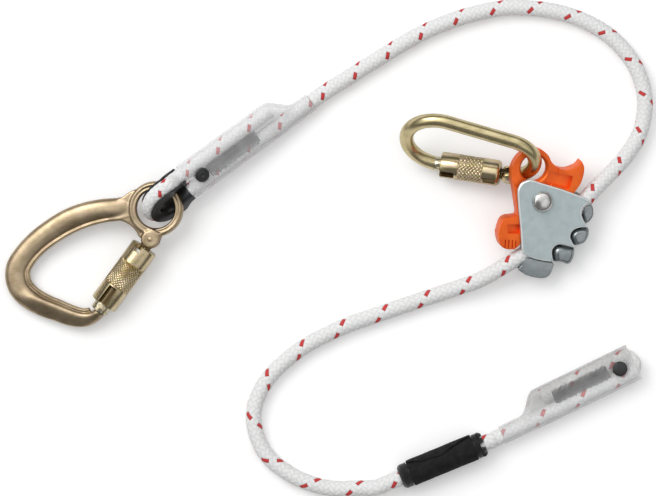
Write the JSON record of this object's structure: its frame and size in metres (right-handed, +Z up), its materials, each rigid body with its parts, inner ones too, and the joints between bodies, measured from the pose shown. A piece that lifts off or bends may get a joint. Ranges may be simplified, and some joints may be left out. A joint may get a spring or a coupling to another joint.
{
  "type": "tree climbing lanyard",
  "caption": "Adjustable climbing lanyard: tracer rope with a sewn eye and steel hook, a sewn end with a stop, and a cam-lever rope adjuster that carries an oval auto-locking carabiner.",
  "frame": {"origin": "on the floor, under the middle of the laid-out hardware (hook, adjuster, stop and covered end)", "axes": "+Z up from the floor, +X along the picture's rows to the right, +Y up the picture's columns"},
  "size_m": [0.4819, 0.3722, 0.0573],
  "materials": {
    "rope_sheath": "matte",
    "stitching_thread": "matte",
    "cover_plastic": "satin",
    "black_plastic": "satin",
    "stop_rubber": "satin",
    "stop_wrap": "matte",
    "zinc_gold": "satin",
    "zinc_bright": "satin",
    "spring_steel": "satin",
    "grey_alloy": "satin",
    "orange_anodised": "satin",
    "stainless": "polished",
    "bush_plastic": "satin"
  },
  "bodies": {
    "lanyard": {"rope_upper": "rope_sheath", "rope_lower": "rope_sheath", "rope_in_adjuster": "rope_sheath", "rope_eye": "rope_sheath", "rope_end_loop": "rope_sheath", "eye_cover": "cover_plastic", "eye_stitching": "stitching_thread", "eye_rivet_stud": "black_plastic", "eye_rivet_cap": "black_plastic", "eye_thimble": "black_plastic", "end_cover": "cover_plastic", "end_stitching": "stitching_thread", "end_rivet_stud": "black_plastic", "end_rivet_cap": "black_plastic", "stop_core": "stop_rubber", "stop_wrap": "stop_wrap", "front_plate": "grey_alloy", "back_plate": "grey_alloy", "grip_block": "grey_alloy", "pivot_rivet": "stainless", "frame_screw_1": "stainless", "frame_screw_2": "stainless", "frame_screw_3": "stainless"},
    "lever": {"cam_lever": "orange_anodised", "pivot_bush": "bush_plastic"},
    "hook": {"hook_body": "zinc_gold", "hook_hinge_pin": "spring_steel"},
    "hook_gate_set": {"hook_gate": "zinc_bright", "hook_lock_pin": "spring_steel", "hook_gate_spring": "spring_steel", "hook_sleeve_spring": "spring_steel"},
    "hook_bush": {"hook_sleeve_bush": "bush_plastic"},
    "hook_sleeve": {"hook_locking_sleeve": "zinc_gold"},
    "oval": {"oval_body": "zinc_gold", "oval_hinge_pin": "spring_steel"},
    "oval_gate_set": {"oval_gate": "zinc_bright", "oval_lock_pin": "spring_steel", "oval_gate_spring": "spring_steel", "oval_sleeve_spring": "spring_steel"},
    "oval_bush": {"oval_sleeve_bush": "bush_plastic"},
    "oval_sleeve": {"oval_locking_sleeve": "zinc_gold"}
  },
  "joints": [
    {"name": "hook_swing", "type": "hinge", "parent": "lanyard", "child": "hook", "pos_m": [-0.11358, 0.07248, 0.0193], "axis": [-0.6414, 0.7668, -0.0251], "range_deg": [-8, 35]},
    {"name": "hook_gate_hinge", "type": "hinge", "parent": "hook", "child": "hook_gate_set", "pos_m": [-0.13044, 0.03895, 0.0164], "axis": [0.0886, 0.0415, -0.9952], "range_deg": [0, 25], "stiffness_Nm_per_rad": 0.6, "springref_deg": -28.65},
    {"name": "hook_sleeve_lift", "type": "slide", "parent": "hook_gate_set", "child": "hook_bush", "axis": [-0.5899, -0.8029, -0.086], "range_m": [0, 0.0045], "stiffness_N_per_m": 600, "springref_m": -0.004},
    {"name": "hook_sleeve_twist", "type": "hinge", "parent": "hook_bush", "child": "hook_sleeve", "pos_m": [-0.13044, 0.03895, 0.0164], "axis": [-0.5899, -0.8029, -0.086], "range_deg": [0, 90], "stiffness_Nm_per_rad": 0.05, "springref_deg": -28.65},
    {"name": "lever_pivot", "type": "hinge", "parent": "lanyard", "child": "lever", "pos_m": [0.15966, 0.06902, 0.0231], "axis": [0.2084, -0.2282, 0.9511], "range_deg": [-12, 0]},
    {"name": "oval_swing", "type": "hinge", "parent": "lever", "child": "oval", "pos_m": [0.1544, 0.09228, 0.02984], "axis": [0.2084, -0.2282, 0.9511], "range_deg": [-20, 15]},
    {"name": "oval_gate_hinge", "type": "hinge", "parent": "oval", "child": "oval_gate_set", "pos_m": [0.13709, 0.08708, 0.01707], "axis": [0.1971, 0.785, -0.5874], "range_deg": [0, 25], "stiffness_Nm_per_rad": 0.5, "springref_deg": -28.65},
    {"name": "oval_sleeve_lift", "type": "slide", "parent": "oval_gate_set", "child": "oval_bush", "axis": [-0.9803, 0.1523, -0.1256], "range_m": [0, 0.0038], "stiffness_N_per_m": 600, "springref_m": -0.004},
    {"name": "oval_sleeve_twist", "type": "hinge", "parent": "oval_bush", "child": "oval_sleeve", "pos_m": [0.13709, 0.08708, 0.01707], "axis": [-0.9803, 0.1523, -0.1256], "range_deg": [0, 90], "stiffness_Nm_per_rad": 0.05, "springref_deg": -28.65}
  ]
}
